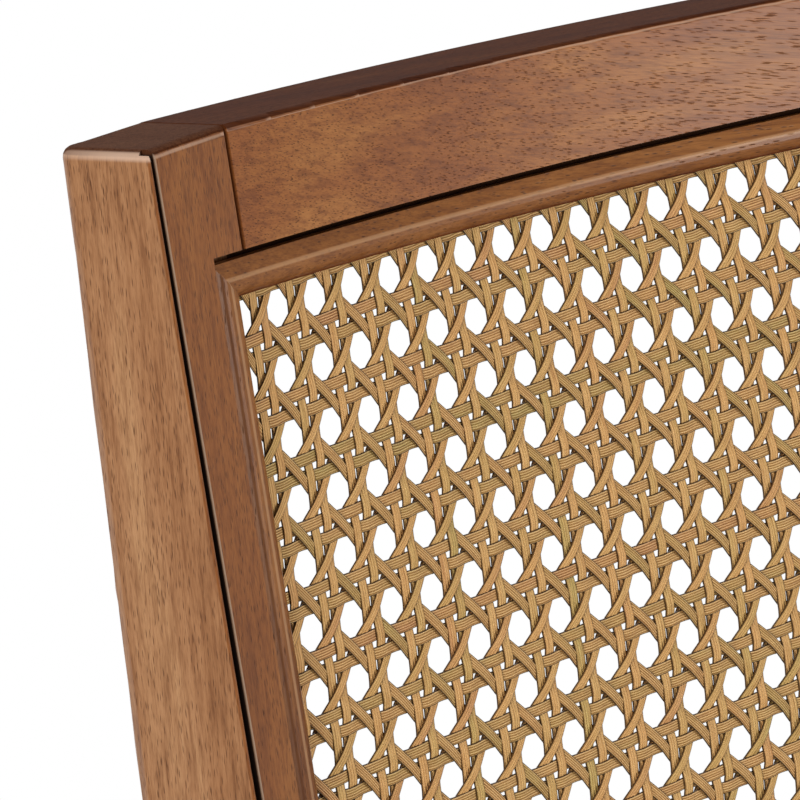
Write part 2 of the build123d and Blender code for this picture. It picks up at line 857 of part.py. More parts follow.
with BuildPart() as lower_leg:
    add(rear_plank.part)
    split(bisect_by=Plane.XY.offset(seat_rail_foot), keep=Keep.BOTTOM)
    side_faces = lower_leg.faces().filter_by(lambda face: abs(face.normal_at().X) > steep)
    front_faces = lower_leg.faces().filter_by(lambda face: face.normal_at().Y < -steep)
    fillet(shared_edges(side_faces, front_faces), radius=leg_edge_radius)

with BuildPart() as rear_leg:
    add(rear_plank.part)
    split(bisect_by=Plane.XY.offset(seat_rail_foot), keep=Keep.TOP)
    with BuildSketch(back_plan.offset(hollow_rise - seat_zone_drop)):
        with Locations((0, -back_radius)):
            Circle(back_radius)
    extrude(amount=seat_zone_drop - hollow_rise + leg_top, mode=Mode.SUBTRACT)
    hollow_faces = rear_leg.faces().filter_by(GeomType.CYLINDER).sort_by(lambda face: face.area)[-1:]
    inner_faces = rear_leg.faces().filter_by(lambda face: face.normal_at().X > steep)
    chamfer(shared_edges(inner_faces, hollow_faces), length=joint_chamfer)
    top_face = rear_leg.faces().sort_by(Axis.Z)[-1]
    inner_faces = rear_leg.faces().filter_by(lambda face: face.normal_at().X > facing_share)
    joint_edges = shared_edges(ShapeList([top_face]), inner_faces)
    fillet(ShapeList(edge for edge in top_face.edges() if edge not in joint_edges), radius=post_top_round)
    groove_heights = (leg_top, -groove_middle_drop, groove_foot)
    groove_widths = (groove_top_width, groove_middle_width, groove_low_width)
    groove_outside = [(groove_lip - post_outer(height), height) for height in groove_heights]
    groove_inside = [
        (groove_lip + width - post_outer(height), height)
        for width, height in zip(groove_widths, groove_heights)
    ]
    groove_outline = groove_outside + groove_inside[::-1]
    add(back_piece(groove_outline, -overrun, groove_depth), mode=Mode.SUBTRACT)
    rabbet_side = bead_side_inset + bead_width + bead_side_gap
    rabbet_corners = opening_corners(rabbet_side, rabbet_rise, rabbet_rise)
    add(back_piece(rabbet_corners, -overrun, rabbet_depth), mode=Mode.SUBTRACT)
    for rail_range in (top_rail_range, lower_rail_range):
        add(rail_tenons(*rail_range, joint_clearance, mortise_end_room), mode=Mode.SUBTRACT)
    add(side_rail_tenons(-1, joint_clearance, mortise_end_room), mode=Mode.SUBTRACT)
    rear_mortise = cross_rail_tenons(rear_tenon_half, rear_rail_y, joint_clearance, mortise_end_room)
    add(rear_mortise, mode=Mode.SUBTRACT)
    add(lower_leg.part)
    add(glide(-rear_glide_x, rear_glide_y, joint_clearance), mode=Mode.SUBTRACT)
write_pair("rear_leg", rear_leg.part)

# The seat is a plywood board, screwed down on the corner blocks, under a crowned cushion. The cushion is
# notched round the rear posts and wraps the edge of the board.
cushion_foot = seat_frame_height + cushion_clearance
cushion_front = -overall_depth / 2
cushion_notch_y = seat_zone_y - cushion_post_clearance
cushion_notch_x = rear_leg_inner - cushion_post_clearance
cushion_rear = rear_rail_y + seat_rail_thickness + cushion_side_overhang
cushion_front_half = side_rail_outer(front_leg_front) + cushion_side_overhang
cushion_rear_half = side_rail_outer(cushion_notch_y) + cushion_side_overhang


def seat_outline(inset, front_corner, rear_corner, notch_corner):
    """Plan of the seat, set in from the cushion's edge, with rounded corners."""
    front = (cushion_front_half - inset, cushion_front + inset)
    side = (cushion_rear_half - inset, cushion_notch_y - inset)
    notch = (cushion_notch_x - inset, cushion_notch_y - inset)
    rear = (cushion_notch_x - inset, cushion_rear - inset)
    right = [front, side, notch, rear]
    left = [(-x, y) for x, y in right[::-1]]
    with BuildSketch() as outline:
        with BuildLine():
            Polyline(*right, *left, close=True)
        make_face()
        rounds = ((front, front_corner), (side, rear_corner), (notch, notch_corner), (rear, rear_corner))
        for corner, radius in rounds:
            for mirrored in (1, -1):
                place = (mirrored * corner[0], corner[1])
                fillet(outline.vertices().sort_by_distance(place)[0], radius=radius)
    return outline.sketch


def seat_layer(inset, low, high):
    """Layer of the seat between two heights, set in from the cushion's edge."""
    corners = (cushion_front_corner, cushion_rear_corner, cushion_notch_corner)
    with BuildPart() as layer:
        outline = seat_outline(inset, *corners)
        extrude(Plane.XY.offset(low) * outline, amount=high - low)
    return layer.part


board_top = seat_frame_height + board_thickness
with BuildPart() as seat_board:
    add(seat_layer(board_inset, seat_frame_height, board_top))
    add(seat_screw_rooms, mode=Mode.SUBTRACT)
seat_board.part.label = "seat_board"
export_step(seat_board.part, "parts/seat_board.step")

crown_radius = (front_half_width ** 2 + cushion_crown ** 2) / (2 * cushion_crown)
crown_middle = (cushion_front + cushion_rear) / 2
with BuildPart() as seat_cushion:
    add(seat_layer(0, cushion_foot, cushion_foot + cushion_rise + overrun))
    with Locations((0, crown_middle, cushion_foot + cushion_rise - crown_radius)):
        Sphere(crown_radius, mode=Mode.INTERSECT)
    top_face = seat_cushion.faces().sort_by(Axis.Z)[-1]
    fillet(top_face.edges(), radius=cushion_top_round)
    bottom_face = seat_cushion.faces().sort_by(Axis.Z)[0]
    fillet(bottom_face.edges(), radius=cushion_bottom_round)
    pocket = seat_layer(board_inset - cushion_clearance, seat_frame_height, board_top + cushion_clearance)
    add(pocket, mode=Mode.SUBTRACT)
seat_cushion.part.label = "seat_cushion"
export_step(seat_cushion.part, "parts/seat_cushion.step")
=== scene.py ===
import bmesh
import bpy
import numpy as np
import math
from mathutils import Matrix, Vector


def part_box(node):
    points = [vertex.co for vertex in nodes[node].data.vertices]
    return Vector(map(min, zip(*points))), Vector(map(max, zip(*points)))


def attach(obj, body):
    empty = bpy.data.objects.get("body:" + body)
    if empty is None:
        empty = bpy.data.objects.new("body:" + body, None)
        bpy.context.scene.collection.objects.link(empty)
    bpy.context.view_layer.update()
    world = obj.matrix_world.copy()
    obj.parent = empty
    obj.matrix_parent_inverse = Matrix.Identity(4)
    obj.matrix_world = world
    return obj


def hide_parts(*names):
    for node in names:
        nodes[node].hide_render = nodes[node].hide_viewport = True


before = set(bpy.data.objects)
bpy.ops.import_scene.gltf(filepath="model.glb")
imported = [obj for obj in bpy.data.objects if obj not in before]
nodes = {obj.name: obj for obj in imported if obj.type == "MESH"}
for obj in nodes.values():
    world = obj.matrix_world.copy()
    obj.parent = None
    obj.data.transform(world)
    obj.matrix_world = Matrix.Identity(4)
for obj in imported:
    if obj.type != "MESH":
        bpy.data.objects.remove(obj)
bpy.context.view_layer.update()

# The photograph's view: a close look at the top left corner of the back, from the sitter's side, a little
# above it and to the left. Its lens, place and aim come from the edges of the posts and rails and from the
# rows of cane holes.
view_lens = 255.03
view_place = (-0.880879, -0.565704, 1.076195)
camera_data = bpy.data.cameras.new("view")
camera_data.sensor_width = 36.0
camera_data.lens = view_lens
camera_data.clip_start = 0.05
camera_data.clip_end = 200.0
camera = bpy.data.objects.new("view", camera_data)
view_right = Vector((0.734686, -0.678408, 0.000501)).normalized()
view_forward = Vector((0.654888, 0.709021, -0.261554)).normalized()
view_up = view_right.cross(view_forward)
view_turn = Matrix((view_right, view_up, -view_forward)).transposed().to_4x4()
camera.matrix_world = Matrix.Translation(view_place) @ view_turn
bpy.context.scene.collection.objects.link(camera)
bpy.context.scene.camera = camera


# The posts and legs, of a plain hardwood with open pores, planed and sanded, stained to a walnut brown and
# sprayed with a thin satin lacquer. Their grain runs upright. The stain gathers in the pores. Painted shade
# darkens the quirk groove down each post, the joints, the level tops and the fronts, and painted highlights
# lie on the eased edges and the groove's lip.
def linear(colour):
    """A colour written in sRGB hex, as the linear values that a shader takes."""
    parts = [int(colour[place:place + 2], 16) / 255 for place in (1, 3, 5)]
    return [part / 12.92 if part <= 0.04045 else ((part + 0.055) / 1.055) ** 2.4 for part in parts] + [1.0]


def add_node(tree, kind, settings=None, values=None, links=None):
    """Adds a node with its settings, its input values and the sockets that feed it."""
    node = tree.nodes.new(kind)
    for name, value in (settings or {}).items():
        setattr(node, name, value)
    for name, value in (values or {}).items():
        node.inputs[name].default_value = value
    for name, socket in (links or {}).items():
        tree.links.new(socket, node.inputs[name])
    return node


def calculate(tree, operation, first, second=0.0):
    """One sum on a socket and a socket or number."""
    node = add_node(tree, "ShaderNodeMath", {"operation": operation})
    for place, term in enumerate((first, second)):
        if isinstance(term, (int, float)):
            node.inputs[place].default_value = term
        else:
            tree.links.new(term, node.inputs[place])
    return node.outputs[0]


def step_down(tree, source, near, far, top=1.0):
    """Top below the near value and nought above the far one, with a soft step between."""
    return add_node(
        tree, "ShaderNodeMapRange", {"interpolation_type": "SMOOTHSTEP"},
        {"From Min": near, "From Max": far, "To Min": top, "To Max": 0.0}, {"Value": source},
    ).outputs["Result"]


def band(tree, source, middle, half, soft):
    """One within a band round a middle value, and nought outside it."""
    distance = calculate(tree, "ABSOLUTE", calculate(tree, "SUBTRACT", source, middle))
    return step_down(tree, distance, half - soft, half + soft)


def tinted(tree, base, share, colour, blend="MIX"):
    """A colour with another one mixed into it or multiplied over it by a share."""
    return add_node(
        tree, "ShaderNodeMixRGB", {"blend_type": blend}, {"Color2": linear(colour)},
        {"Fac": share, "Color1": base},
    ).outputs["Color"]


def noise(tree, place, scale, detail=2.0, roughness=0.5, distortion=0.0):
    """Even noise on a place that is stretched by three scales, in cells per metre."""
    stretched = add_node(
        tree, "ShaderNodeMapping", None, {"Scale": scale}, {"Vector": place}
    ).outputs["Vector"]
    return add_node(
        tree, "ShaderNodeTexNoise", {"normalize": True},
        {"Scale": 1.0, "Detail": detail, "Roughness": roughness, "Distortion": distortion},
        {"Vector": stretched},
    ).outputs["Fac"]


def ramp_node(tree, source, stops):
    """A colour ramp with its stops, each a place and a hex colour."""
    node = add_node(tree, "ShaderNodeValToRGB", links={"Fac": source})
    ramp = node.color_ramp
    ramp.elements[0].position, ramp.elements[0].color = stops[0][0], linear(stops[0][1])
    ramp.elements[1].position, ramp.elements[1].color = stops[-1][0], linear(stops[-1][1])
    for place, colour in stops[1:-1]:
        ramp.elements.new(place).color = linear(colour)
    return node.outputs["Color"]


def new_material(name):
    """A material with its principled shader, ready for its nodes."""
    material = bpy.data.materials.new(name)
    material.use_nodes = True
    tree = material.node_tree
    shader = tree.nodes["Principled BSDF"]
    return material, tree, shader


def pore_marks(tree, grain, size, length, near, far, share, crowd):
    """Dashes along the grain, one in a share of the cells of an uneven mesh, thicker where they crowd."""
    place = add_node(
        tree, "ShaderNodeMapping", None, {"Scale": (1 / size, 1 / size, 1 / length)}, {"Vector": grain}
    ).outputs["Vector"]
    cells = add_node(
        tree, "ShaderNodeTexVoronoi", {"feature": "F1"}, {"Scale": 1.0, "Randomness": 1.0}, {"Vector": place}
    )
    depth = step_down(tree, cells.outputs["Distance"], near, far)
    pick = add_node(tree, "ShaderNodeSeparateColor", links={"Color": cells.outputs["Color"]}).outputs["Red"]
    # A cell holds a pore where its number passes this edge, which is lower where the pores crowd
    edge = add_node(
        tree, "ShaderNodeMapRange", None,
        {"From Min": 0.35, "From Max": 0.65, "To Min": 1.25 - share, "To Max": 0.75 - share},
        {"Value": crowd},
    ).outputs["Result"]
    return calculate(tree, "MULTIPLY", depth, calculate(tree, "GREATER_THAN", pick, edge))


# The back leans by its rake round the top edge of the cane's opening, and its front is hollow, a part of an
# upright cylinder. The patterns' scales are in cells per metre, with the last one along the grain.
rake = math.radians(8)
back_radius = 0.7
back_y = 0.242086
back_z = 0.811981
quarter_turn = math.pi / 2
growth_scale = (95, 60, 4)
streak_scale = (800, 800, 14)
fibre_scale = (3200, 3200, 60)
crowd_scale = (150, 150, 25)
grain_strength = 0.85
lacquer_roughness = 0.34
pore_roughness = 0.55
wood_specular = 0.1


def stained_hardwood(name, grain_turn, figure_turn, tones, pores, shift, marks=None):
    """Stained hardwood under satin lacquer, with its grain and figure turned from the upright.

    The tones are four for the growth's bands and one for the pores. The pores have a width and a length, the
    share of the cells that hold one, and a darkness.
    """
    pore_width, pore_length, pore_share, pore_darkness = pores
    material, tree, shader = new_material(name)
    place = add_node(tree, "ShaderNodeTexCoord").outputs["Object"]
    grain, figure = [
        add_node(
            tree, "ShaderNodeMapping", {"vector_type": "TEXTURE"}, {"Rotation": turn, "Location": shift},
            {"Vector": place},
        ).outputs["Vector"]
        for turn in (grain_turn, figure_turn)
    ]

    # Broad soft bands of the board's growth, about 10 mm apart, that run on for a hand's length
    bands = noise(tree, figure, growth_scale, 3.0, 0.5, 0.3)
    tone = ramp_node(tree, bands, list(zip((0.3, 0.43, 0.57, 0.7), tones)))

    # Fine streaks and fibres along the grain, 1.2 mm and 0.3 mm across
    streaks = noise(tree, grain, streak_scale, 3.0, 0.6)
    streak_shade = ramp_node(tree, streaks, [(0.3, "#C4B3A4"), (0.5, "#F2EDE8"), (0.66, "#FFFFFF")])
    fibres = noise(tree, grain, fibre_scale, 2.0, 0.6)
    fibre_shade = ramp_node(tree, fibres, [(0.3, "#C9BEB4"), (0.5, "#F4F0EC"), (0.7, "#FFFFFF")])
    for shade in (streak_shade, fibre_shade):
        tone = add_node(
            tree, "ShaderNodeMixRGB", {"blend_type": "MULTIPLY"}, {"Fac": grain_strength},
            {"Color1": tone, "Color2": shade},
        ).outputs["Color"]

    # Open pores that hold the stain: short fine dashes, with a few longer and wider ones among them
    crowd = noise(tree, figure, crowd_scale, 1.0)
    short_pores = pore_marks(tree, grain, pore_width, pore_length, 0.16, 0.35, pore_share, crowd)
    long_pores = pore_marks(
        tree, grain, pore_width * 2.1, pore_length * 3, 0.03, 0.12, pore_share * 0.6, crowd
    )
    pore_depth = calculate(tree, "MAXIMUM", short_pores, long_pores)
    tone = tinted(tree, tone, calculate(tree, "MULTIPLY", pore_depth, pore_darkness), tones[4])

    # Marks that follow the back's own shape: the depth behind its hollow front and the height up its slope.
    # The marks of painted shade are rough as well.
    dullness = 0.0
    if marks:
        back = add_node(
            tree, "ShaderNodeMapping", {"vector_type": "TEXTURE"},
            {"Location": (0, back_y, back_z), "Rotation": (-rake, 0, 0)}, {"Vector": place},
        ).outputs["Vector"]
        spot = add_node(tree, "ShaderNodeSeparateXYZ", links={"Vector": back})
        across = calculate(tree, "ABSOLUTE", spot.outputs["X"])
        beyond = calculate(tree, "ADD", spot.outputs["Y"], back_radius)
        reach = calculate(
            tree, "ADD", calculate(tree, "MULTIPLY", across, across),
            calculate(tree, "MULTIPLY", beyond, beyond),
        )
        depth = calculate(tree, "SUBTRACT", calculate(tree, "SQRT", reach), back_radius)
        for share, colour, blend, matt in marks(tree, across, depth, spot.outputs["Z"]):
            tone = tinted(tree, tone, share, colour, blend)
            if matt:
                dullness = calculate(tree, "MAXIMUM", share, dullness)
    tree.links.new(tone, shader.inputs["Base Color"])
    shader.inputs["Specular IOR Level"].default_value = wood_specular

    roughness = add_node(
        tree, "ShaderNodeMapRange", None, {"To Min": lacquer_roughness, "To Max": pore_roughness},
        {"Value": pore_depth},
    ).outputs["Result"]
    tree.links.new(calculate(tree, "MAXIMUM", roughness, dullness), shader.inputs["Roughness"])
    relief = calculate(tree, "SUBTRACT", calculate(tree, "MULTIPLY", fibres, 0.6), pore_depth)
    bump = add_node(
        tree, "ShaderNodeBump", None, {"Strength": 0.3, "Distance": 0.0001}, {"Height": relief}
    ).outputs["Normal"]
    tree.links.new(bump, shader.inputs["Normal"])
    return material


def dress(names, material):
    """Gives CAD nodes their finished material."""
    for name in names:
        for slot in nodes[name].material_slots:
            slot.material = material


# Heights run up the back's slope from the top edge of the cane's opening, and widths from its middle
rail_height = 0.033
opening_half = 0.1993
opening_slope = math.tan(math.radians(5.6))
post_outer_half = 0.225
post_outer_slope = math.tan(math.radians(6.2))
post_knee = -0.355
post_top_round = 0.002
post_top_ridge = 0.2025
post_top_fall = math.tan(math.radians(2))
groove_lip_top = 0.0017
groove_lip_low = 0.0027
groove_low = -0.11
# The colour of the painted highlight on the eased edges
painted_edge_highlight = "#D8B59C"
# The colour of the painted shade in the joints of the rails and the posts
painted_joint_shade = "#52290F"


def step_up(tree, source, near, far):
    """Nought below the near value and one above the far one, with a soft step between."""
    return calculate(tree, "SUBTRACT", 1.0, step_down(tree, source, near, far))


def joint_shade_line(tree, across, height):
    """The dark line of painted shade where the rails butt against the posts."""
    edge = calculate(tree, "ADD", calculate(tree, "MULTIPLY", height, opening_slope), opening_half)
    line = band(tree, calculate(tree, "SUBTRACT", across, edge), 0.0, 0.0005, 0.0003)
    return calculate(tree, "MULTIPLY", line, step_up(tree, height, 0.007, 0.009))


def top_shade_and_edge_highlight(tree, depth, drop, edge):
    """Painted shade that darkens the level top, and a thin painted highlight along the front of its eased
    edge.
    """
    # Painted shade: the level top is darkened
    dark = calculate(
        tree, "MULTIPLY", step_up(tree, depth, 0.09 * edge, 0.2 * edge),
        step_down(tree, drop, 0.55 * edge, 0.7 * edge),
    )
    # Painted highlight: a thin pale line along the front of the eased edge
    line = calculate(
        tree, "MULTIPLY", band(tree, depth, 0.05 * edge, 0.05 * edge, 0.03 * edge),
        step_down(tree, drop, 0.8 * edge, edge),
    )
    line = calculate(tree, "MULTIPLY", line, 0.45)
    return [(line, painted_edge_highlight, "MIX", False), (dark, "#94807A", "MULTIPLY", True)]


def post_marks(tree, across, depth, height):
    """Painted shade in the quirk groove and on the front, painted highlights on the eased edge and the lip
    beside the groove, and the joint's painted shade.
    """
    slope = calculate(tree, "MULTIPLY", calculate(tree, "MAXIMUM", height, post_knee), post_outer_slope)
    inset = calculate(tree, "SUBTRACT", calculate(tree, "ADD", slope, post_outer_half), across)
    groove_edge = add_node(
        tree, "ShaderNodeMapRange", None,
        {
            "From Min": rail_height, "From Max": groove_low,
            "To Min": groove_lip_top, "To Max": groove_lip_low,
        },
        {"Value": height},
    ).outputs["Result"]
    # Painted shade: the quirk groove is painted near black
    groove = calculate(
        tree, "MULTIPLY", band(tree, inset, 0.0018, 0.0016, 0.0001), band(tree, depth, 0.0018, 0.0015, 0.0002)
    )
    top_at_middle = rail_height + post_top_ridge * post_top_fall
    drop = calculate(tree, "SUBTRACT", top_at_middle, height)
    drop = calculate(tree, "SUBTRACT", drop, calculate(tree, "MULTIPLY", across, post_top_fall))

    # The eased top edge is a quarter round of 2 mm, and the groove lies inside it
    rim = [
        calculate(tree, "MAXIMUM", calculate(tree, "SUBTRACT", post_top_round, side), 0.0)
        for side in (inset, drop)
    ]
    rim = calculate(
        tree, "SQRT", calculate(tree, "ADD", *[calculate(tree, "MULTIPLY", side, side) for side in rim])
    )
    groove = calculate(tree, "MULTIPLY", groove, step_down(tree, rim, 0.00178, 0.00188))
    groove = calculate(tree, "MULTIPLY", groove, step_up(tree, drop, 0.0006, 0.0013))
    # Painted highlight: a pale band on the eased top edge of the side face
    side_edge_highlight = calculate(
        tree, "MULTIPLY", step_down(tree, inset, 0.0007, 0.0012), band(tree, drop, 0.0011, 0.0008, 0.0005)
    )
    side_edge_highlight = calculate(tree, "MULTIPLY", side_edge_highlight, step_down(tree, depth, 0.006, 0.04, 0.8))
    # Painted highlight: a pale line on the lip beside the groove
    lip = band(tree, calculate(tree, "SUBTRACT", inset, groove_edge), 0.00022, 0.00026, 0.00008)
    lip = calculate(tree, "MULTIPLY", lip, step_down(tree, depth, 0.0002, 0.0005, 0.75))
    # Painted shade: the front faces are darkened against the sides, for the weaker light on the front
    front = step_down(tree, depth, 0.0004, 0.0008)
    return [(front, "#D9BC8C", "MULTIPLY", False)] + top_shade_and_edge_highlight(tree, depth, drop, post_top_round) + [
        (side_edge_highlight, painted_edge_highlight, "MIX", False), (lip, "#A98F78", "MIX", False),
        (joint_shade_line(tree, across, height), painted_joint_shade, "MIX", True), (groove, "#2A1C15", "MIX", True),
    ]


post_tones = ("#9C6C46", "#AD7C54", "#B4845C", "#C09268", "#4E2B14")
post_pores = (0.00042, 0.009, 0.6, 0.85)
post_wood = stained_hardwood(
    "stained_hardwood_posts", (0, 0, 0.3), (0, 0, 0.3), post_tones, post_pores, (0, 0, 0), post_marks
)
dress(["rear_leg_left", "rear_leg_right", "front_leg_left", "front_leg_right"], post_wood)


# The rails of the back and the seat, of the same wood under the same finish, tenoned into the posts. The back
# rails are sawn to their curve from a thick plank, so that the pores run out of it: short and crowded at the
# ends, longer in the middle.
rail_edge = 0.0014


def rail_marks(tree, across, depth, height):
    """Painted shade in the quirk between the top rail and its bead, and in the joints with the posts."""
    # Painted shade in the quirk under the top rail
    quirk = calculate(
        tree, "MULTIPLY", band(tree, height, 0.0082, 0.0012, 0.0002), band(tree, depth, 0.003, 0.0025, 0.0003)
    )
    drop = calculate(tree, "SUBTRACT", rail_height, height)
    return top_shade_and_edge_highlight(tree, depth, drop, rail_edge) + [
        (quirk, "#452A1A", "MIX", True), (joint_shade_line(tree, across, height), painted_joint_shade, "MIX", True)
    ]


rail_tones = ("#844B20", "#975A28", "#9F632E", "#B0753C", "#3A1C0C")
cross_rail_pores = (0.00032, 0.0062, 0.75, 0.75)
side_rail_pores = (0.0006, 0.0045, 0.6, 0.75)
dress(
    ["top_rail", "lower_back_rail", "front_seat_rail", "rear_seat_rail"],
    stained_hardwood(
        "stained_hardwood_rails", (0, quarter_turn + 0.17, 0), (0.1, quarter_turn - 0.02, 0), rail_tones,
        cross_rail_pores, (0.03, 0.01, 0.02), rail_marks,
    ),
)
dress(
    ["side_seat_rail_left", "side_seat_rail_right"],
    stained_hardwood(
        "stained_hardwood_side_rails", (quarter_turn, 0, 0), (quarter_turn, 0, 0), rail_tones,
        side_rail_pores, (0.01, 0.03, 0.02),
    ),
)


# The beads that hold the cane: thin strips of the same wood, run with a slope, a ridge and a quarter round,
# mitred at the corners and pinned into the rabbet. A painted highlight lies on their ridges, and painted
# shade on their lower round, in the valley of the upright ones and at their foot.
opening_height = 0.255
bead_inset = 0.0026
bead_ridge = 0.0041
side_ridge_shift = 0.0012
side_valley = 0.0054


def bead_marks(tree, across, depth, height):
    """The painted highlight on each bead's ridge, and painted shade on the round below it, in the soft valley
    of the upright ones and at the foot of their side.
    """
    above = calculate(tree, "MAXIMUM", height, calculate(tree, "SUBTRACT", -opening_height, height))
    slope = calculate(tree, "MULTIPLY", height, opening_slope)
    aside = calculate(tree, "SUBTRACT", across, calculate(tree, "ADD", slope, opening_half + bead_inset))
    rise = calculate(tree, "MAXIMUM", above, aside)
    upright = step_up(tree, calculate(tree, "SUBTRACT", aside, above), -0.0002, 0.0002)
    ridge_shift = calculate(tree, "MULTIPLY", upright, side_ridge_shift)
    ridge_place = calculate(tree, "SUBTRACT", bead_ridge, ridge_shift)
    # Painted highlight along the ridge
    ridge = calculate(
        tree, "MULTIPLY", band(tree, calculate(tree, "SUBTRACT", rise, ridge_place), 0.0, 0.0004, 0.0002),
        step_down(tree, depth, 0.0006, 0.0009, 0.45),
    )
    # Painted shade in the valley of the upright beads
    valley = calculate(tree, "MULTIPLY", band(tree, rise, side_valley, 0.0005, 0.0004), upright)
    valley = calculate(tree, "MULTIPLY", valley, 0.65)
    # Painted shade at the foot, where the bead meets the cane
    foot = step_up(tree, depth, 0.0026, 0.0037)
    # Painted shade on the quarter round below the ridge
    rounded = calculate(
        tree, "MULTIPLY", step_down(tree, rise, 0.0035, 0.004), step_up(tree, depth, 0.0004, 0.002)
    )
    return [
        (rounded, "#B48C6C", "MULTIPLY", True), (ridge, "#C79A70", "MIX", False),
        (valley, "#5A3520", "MIX", True), (foot, "#3B2112", "MIX", True),
    ]


bead_tones = ("#76441B", "#865221", "#915B29", "#A16B37", "#33180A")
bead_pores = (0.0005, 0.004, 0.4, 0.7)
dress(
    ["bead_top", "bead_bottom"],
    stained_hardwood(
        "stained_hardwood_level_beads", (0, quarter_turn + 0.06, 0), (0, quarter_turn, 0), bead_tones,
        bead_pores, (0.05, 0.02, 0.01), bead_marks,
    ),
)
dress(
    ["bead_left", "bead_right"],
    stained_hardwood(
        "stained_hardwood_upright_beads", (0, 0, 0), (0, 0, 0), bead_tones,
        bead_pores, (0.02, 0.05, 0.03), bead_marks,
    ),
)

# The cane: split rattan bark, flat ribbed strands 2.2 to 2.7 mm wide, woven six ways: pairs up and across in
# plain weave at a pitch of half an inch, and single strands slantwise both ways. Pressed in wet under the
# beads and dried drum tight, the sheet pulls forward out of the curve of its frame.
cane_pitch = 0.0127
cane_depth = 0.0043
cane_tuck = 0.0055
cane_pull = 0.0314
cane_pull_reach = 0.1146
first_hole_across = -back_radius * math.asin(opening_half / back_radius) + 0.01325
first_hole_down = 0.00479


def cane_surface(across, down, lift):
    """Points of the cane's face, lifted off it: across it from the middle, and down it from the top edge."""
    half = back_radius * np.arcsin(np.clip((opening_half - opening_slope * down) / back_radius, 0.01, 0.5))
    middle = opening_height / 2
    sag = 1 - np.cosh((down - middle) / cane_pull_reach) / math.cosh(middle / cane_pull_reach)
    pull = cane_pull * np.clip(1 - (across / half) ** 2, 0, 1) * np.clip(sag, 0, 1)
    turn = across / back_radius
    x = back_radius * np.sin(turn) + lift * np.sin(turn)
    depth = cane_depth - back_radius * (1 - np.cos(turn)) - pull - lift * np.cos(turn)
    y = back_y + depth * math.cos(rake) - down * math.sin(rake)
    z = back_z - down * math.cos(rake) - depth * math.sin(rake)
    return np.stack([x, y, z], -1)


# A strand's section, as shares of its width and thickness: flat behind, with its face eased at the sides
strand_section = np.array([(-0.5, -0.5), (0.5, -0.5), (0.5, 0.15), (0.36, 0.5), (-0.36, 0.5), (-0.5, 0.15)])
strand_step = 0.0013


def strand(start, end, wave, width, thickness, number, sway=None):
    """Vertices, faces and strip coordinates of one flat strand between two points of the face."""
    start = np.array(start)
    end = np.array(end)
    length = float(np.linalg.norm(end - start))
    count = max(int(length / strand_step), 4)
    along = np.linspace(0, length, count + 1)
    heading = (end - start) / length
    aside = np.array([-heading[1], heading[0]])
    centre = start + along[:, None] * heading
    if sway:
        centre = centre + aside * sway(centre[:, 0], centre[:, 1])[:, None]
    lift = wave(centre[:, 0], centre[:, 1])
    profile = strand_section * (width, thickness)
    rings = [
        cane_surface(centre[:, 0] + aside[0] * offset, centre[:, 1] + aside[1] * offset, lift + height)
        for offset, height in profile
    ]
    points = np.stack(rings, 1).reshape(-1, 3)
    size = len(profile)
    # The strip coordinates are the place along the strand in metres, and the place across it from -1 to 1
    across = profile[:, 0] / (width / 2)
    faces = []
    strips = []
    for ring in range(count):
        for corner in range(size):
            after = (corner + 1) % size
            near, far = ring * size, (ring + 1) * size
            faces.append((near + corner, near + after, far + after, far + corner))
            strips += [
                (along[ring], across[corner]), (along[ring], across[after]),
                (along[ring + 1], across[after]), (along[ring + 1], across[corner]),
            ]
    last = count * size
    faces.append(tuple(range(size))[::-1])
    strips += [(along[0], across[corner]) for corner in range(size)][::-1]
    faces.append(tuple(range(last, last + size)))
    strips += [(along[-1], across[corner]) for corner in range(size)]
    return points, faces, strips, number


def weave_piece(name, strands, material):
    """One mesh of all the strands that run one way."""
    points = []
    faces = []
    coordinates = []
    numbers = []
    base = 0
    for vertices, quads, strips, number in strands:
        points.append(vertices)
        faces += [[corner + base for corner in quad] for quad in quads]
        coordinates += strips
        numbers += [(number, number)] * len(strips)
        base += len(vertices)
    mesh = bpy.data.meshes.new(name)
    mesh.from_pydata(np.concatenate(points).tolist(), [], faces)
    for label, values in (("strip", coordinates), ("strand", numbers)):
        layer = mesh.uv_layers.new(name=label)
        layer.data.foreach_set("uv", np.array(values, dtype=np.float32).ravel())
    mesh.materials.append(material)
    for polygon in mesh.polygons:
        polygon.use_smooth = True
    mesh.update()
    mesh.validate()
    piece = bpy.data.objects.new(name, mesh)
    bpy.context.scene.collection.objects.link(piece)
    return piece


